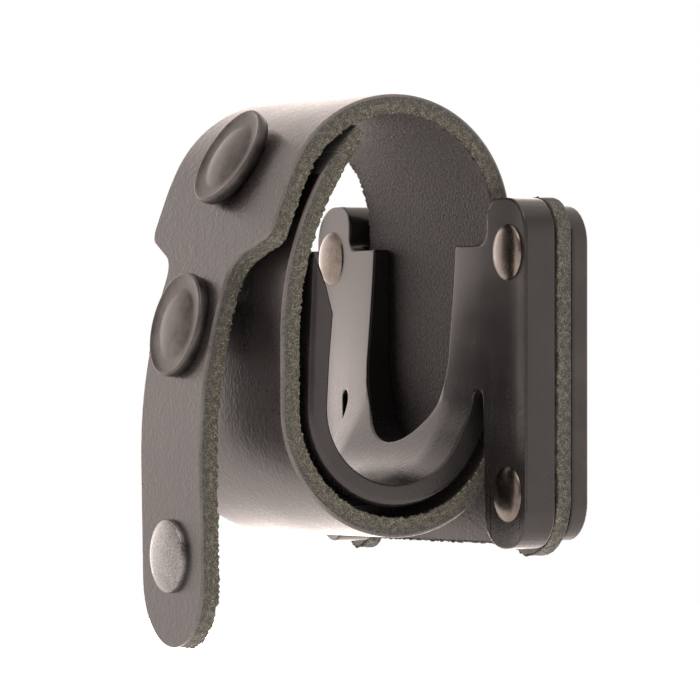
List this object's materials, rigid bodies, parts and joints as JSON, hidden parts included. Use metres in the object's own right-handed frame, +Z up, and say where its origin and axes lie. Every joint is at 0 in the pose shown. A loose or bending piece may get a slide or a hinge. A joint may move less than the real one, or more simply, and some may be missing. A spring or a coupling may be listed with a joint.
{
  "type": "strap and hook holder",
  "caption": "Leather strap loop with a press-stud flap and a hanging stud tab, riveted between a moulded plate with a spring hook and a thin back plate, for carrying gear on a belt.",
  "frame": {"origin": "middle of the back plate's rear face", "axes": "+Y out of the rear face, +Z up towards the strap's round top, +X to the side that is near in the picture"},
  "size_m": [0.064, 0.0514, 0.078],
  "materials": {
    "leather": "black grain leather, satin, with raw edges",
    "plastic": "black moulded plastic, semi-gloss",
    "rivet_metal": "dark bronzed steel, semi-bright",
    "stud_metal": "gunmetal, satin",
    "spring_brass": "plain brass wire"
  },
  "bodies": {
    "holder": {"hook_plate": "plastic", "leather_pad": "leather", "back_plate": "plastic", "strap_loop": "leather", "rivet_near_top": "rivet_metal", "rivet_near_bottom": "rivet_metal", "rivet_far_top": "rivet_metal", "rivet_far_bottom": "rivet_metal", "rivet_cap_near_top": "rivet_metal", "rivet_cap_near_bottom": "rivet_metal", "rivet_cap_far_top": "rivet_metal", "rivet_cap_far_bottom": "rivet_metal", "closing_stud": "stud_metal", "closing_post": "stud_metal"},
    "hook": {"spring_hook": "plastic"},
    "flap": {"strap_flap": "leather", "closing_cap": "stud_metal", "closing_socket": "stud_metal", "closing_spring": "spring_brass", "keeper_cap": "stud_metal", "keeper_socket": "stud_metal", "keeper_spring": "spring_brass"},
    "tab": {"strap_tab": "leather", "tab_post": "stud_metal", "tab_stud": "stud_metal"}
  },
  "joints": [
    {"name": "flap_fold", "type": "hinge", "parent": "holder", "child": "flap", "pos_m": [0, -0.0326, 0.03686], "axis": [-1, 0, 0], "range_deg": [0, 100]},
    {"name": "tab_fold", "type": "hinge", "parent": "flap", "child": "tab", "pos_m": [0, -0.04988, -0.00959], "axis": [-1, 0, 0], "range_deg": [0, 110]},
    {"name": "hook_flex", "type": "hinge", "parent": "holder", "child": "hook", "pos_m": [0, -0.01434, -0.01229], "axis": [1, 0, 0], "range_deg": [-3, 1], "stiffness_Nm_per_rad": 12}
  ]
}
